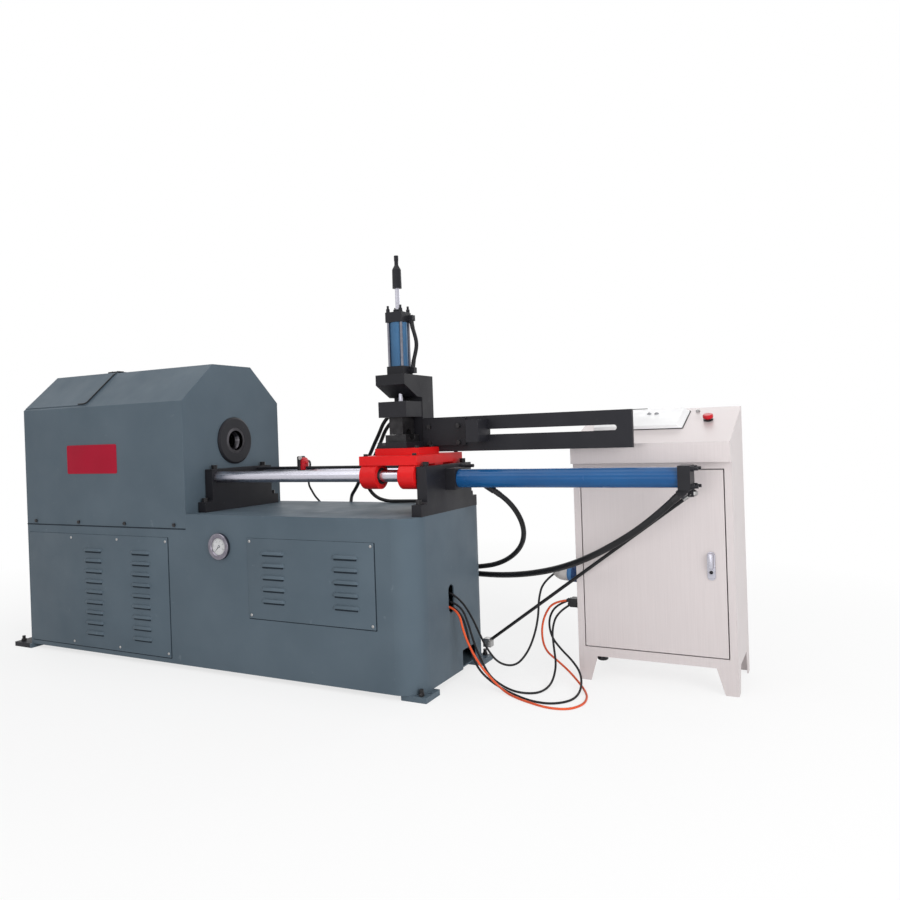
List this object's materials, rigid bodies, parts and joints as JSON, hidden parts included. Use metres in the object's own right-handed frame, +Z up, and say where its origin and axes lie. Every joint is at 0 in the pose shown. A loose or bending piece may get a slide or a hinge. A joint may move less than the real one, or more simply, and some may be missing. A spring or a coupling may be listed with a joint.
{
  "type": "tube end forming machine",
  "caption": "Tube end forming machine: hooded spindle on a cabinet bed, hydraulic feed carriage with a clamp tower and stop rail on guide rods, and a separate control cabinet.",
  "frame": {"origin": "on the floor, in the middle of the four anchor holes of the base", "axes": "+X from the headstock towards the feed cylinder, +Y away from the operator, +Z up"},
  "size_m": [3.475, 0.872, 1.787],
  "materials": {
    "machine_paint": "grey-blue machine enamel, semi-gloss",
    "black_paint": "black enamel over machined steel",
    "red_paint": "red enamel",
    "blue_paint": "blue enamel on the cylinder tubes",
    "stainless_sheet": "brushed stainless sheet",
    "chrome_steel": "hard chrome",
    "bright_steel": "turned or ground steel",
    "black_oxide": "black-oxide tool steel",
    "cast_iron": "painted casting",
    "bronze": "bearing bronze",
    "black_rubber": "smooth hose and cable sheath",
    "orange_rubber": "orange cable sheath",
    "black_plastic": "moulded black plastic",
    "red_plastic": "moulded red plastic",
    "grey_plastic": "moulded grey plastic",
    "white_panel": "white console panel"
  },
  "bodies": {
    "machine_base": {"base_frame": "machine_paint", "frame_bolts": "black_oxide", "louvre_covers": "machine_paint", "gauge_case": "chrome_steel", "hood_shell": "machine_paint", "hinge_pins": "bright_steel", "nose_ring": "black_paint", "headstock_housing": "cast_iron", "spindle_bearings": "bright_steel", "drive_belts": "black_rubber", "main_motor": "cast_iron", "hydraulic_unit": "machine_paint", "head_support": "black_paint", "tail_support": "black_paint", "guide_rods": "chrome_steel", "stop_rod": "black_paint", "limit_switch": "red_plastic", "feed_cylinder_tube": "blue_paint", "feed_cylinder_ends": "black_paint", "hose_fittings": "black_paint", "cabinet_shell": "stainless_sheet", "console_panel": "white_panel", "switchgear": "grey_plastic", "side_connectors": "black_plastic", "feed_hose": "black_rubber", "return_hose": "black_rubber", "drain_hose": "black_rubber", "switch_cable": "black_rubber", "orange_cable": "orange_rubber", "black_cable": "black_rubber", "lower_cable": "black_rubber", "plug_cable": "black_rubber"},
    "spindle": {"spindle": "bright_steel", "forming_head": "bright_steel", "spindle_pulley": "cast_iron"},
    "motor_rotor": {"motor_pulley": "cast_iron"},
    "gauge_needle": {"gauge_needle": "black_plastic"},
    "hood_lid": {"hood_lid": "machine_paint"},
    "carriage": {"carriage_plate": "red_paint", "bearing_housings": "red_paint", "bush_liners": "bronze", "saddle_plate": "red_paint", "carriage_bolts": "black_oxide", "clamp_frame": "black_paint", "lower_die": "black_oxide", "clamp_cylinder_tube": "blue_paint", "clamp_cylinder_ends": "black_paint", "feed_piston_rod": "chrome_steel", "stop_rail": "black_paint", "clamp_loop_hose": "black_rubber", "clamp_hose_a": "black_rubber", "clamp_hose_b": "black_rubber"},
    "clamp_slide": {"clamp_slide": "black_paint", "upper_die": "black_oxide", "clamp_piston_rod": "chrome_steel", "rod_tip": "black_paint"},
    "tube_stop": {"tube_stop": "black_paint"},
    "cabinet_door": {"cabinet_door": "stainless_sheet"},
    "door_handle": {"door_handle": "chrome_steel"},
    "emergency_stop": {"emergency_stop": "red_plastic"}
  },
  "joints": [
    {"name": "feed", "type": "slide", "parent": "machine_base", "child": "carriage", "axis": [-1, 0, 0], "range_m": [0, 0.49], "deforming": ["clamp_hose_a", "clamp_hose_b"]},
    {"name": "clamp", "type": "slide", "parent": "carriage", "child": "clamp_slide", "axis": [0, 0, 1], "range_m": [0, 0.018]},
    {"name": "stop_setting", "type": "slide", "parent": "carriage", "child": "tube_stop", "axis": [1, 0, 0], "range_m": [0, 0.52]},
    {"name": "spindle_turn", "type": "hinge", "parent": "machine_base", "child": "spindle", "pos_m": [0, 0, 1.022], "axis": [1, 0, 0], "continuous": true},
    {"name": "motor_turn", "type": "hinge", "parent": "machine_base", "child": "motor_rotor", "pos_m": [0, 0, 0.33], "axis": [1, 0, 0], "continuous": true},
    {"name": "gauge_reading", "type": "hinge", "parent": "machine_base", "child": "gauge_needle", "pos_m": [0.2, -0.3315, 0.564], "axis": [0, 1, 0], "range_deg": [0, 270]},
    {"name": "lid_hinge", "type": "hinge", "parent": "machine_base", "child": "hood_lid", "pos_m": [-0.87, 0.1285, 1.3885], "axis": [-1, 0, 0], "range_deg": [0, 100]},
    {"name": "door_hinge", "type": "hinge", "parent": "machine_base", "child": "cabinet_door", "pos_m": [1.679, 0.1925, 0.495], "axis": [0, 0, -1], "range_deg": [0, 15]},
    {"name": "handle_turn", "type": "hinge", "parent": "cabinet_door", "child": "door_handle", "pos_m": [2.17, 0.184, 0.486], "axis": [0, 1, 0], "range_deg": [0, 90]},
    {"name": "emergency_press", "type": "slide", "parent": "machine_base", "child": "emergency_stop", "axis": [0, 0.337, -0.9415], "range_m": [0, 0.005], "stiffness_N_per_m": 1500}
  ],
  "couplings": [
    {"joint": "motor_turn", "follows": "spindle_turn", "ratio": 1.9455}
  ]
}
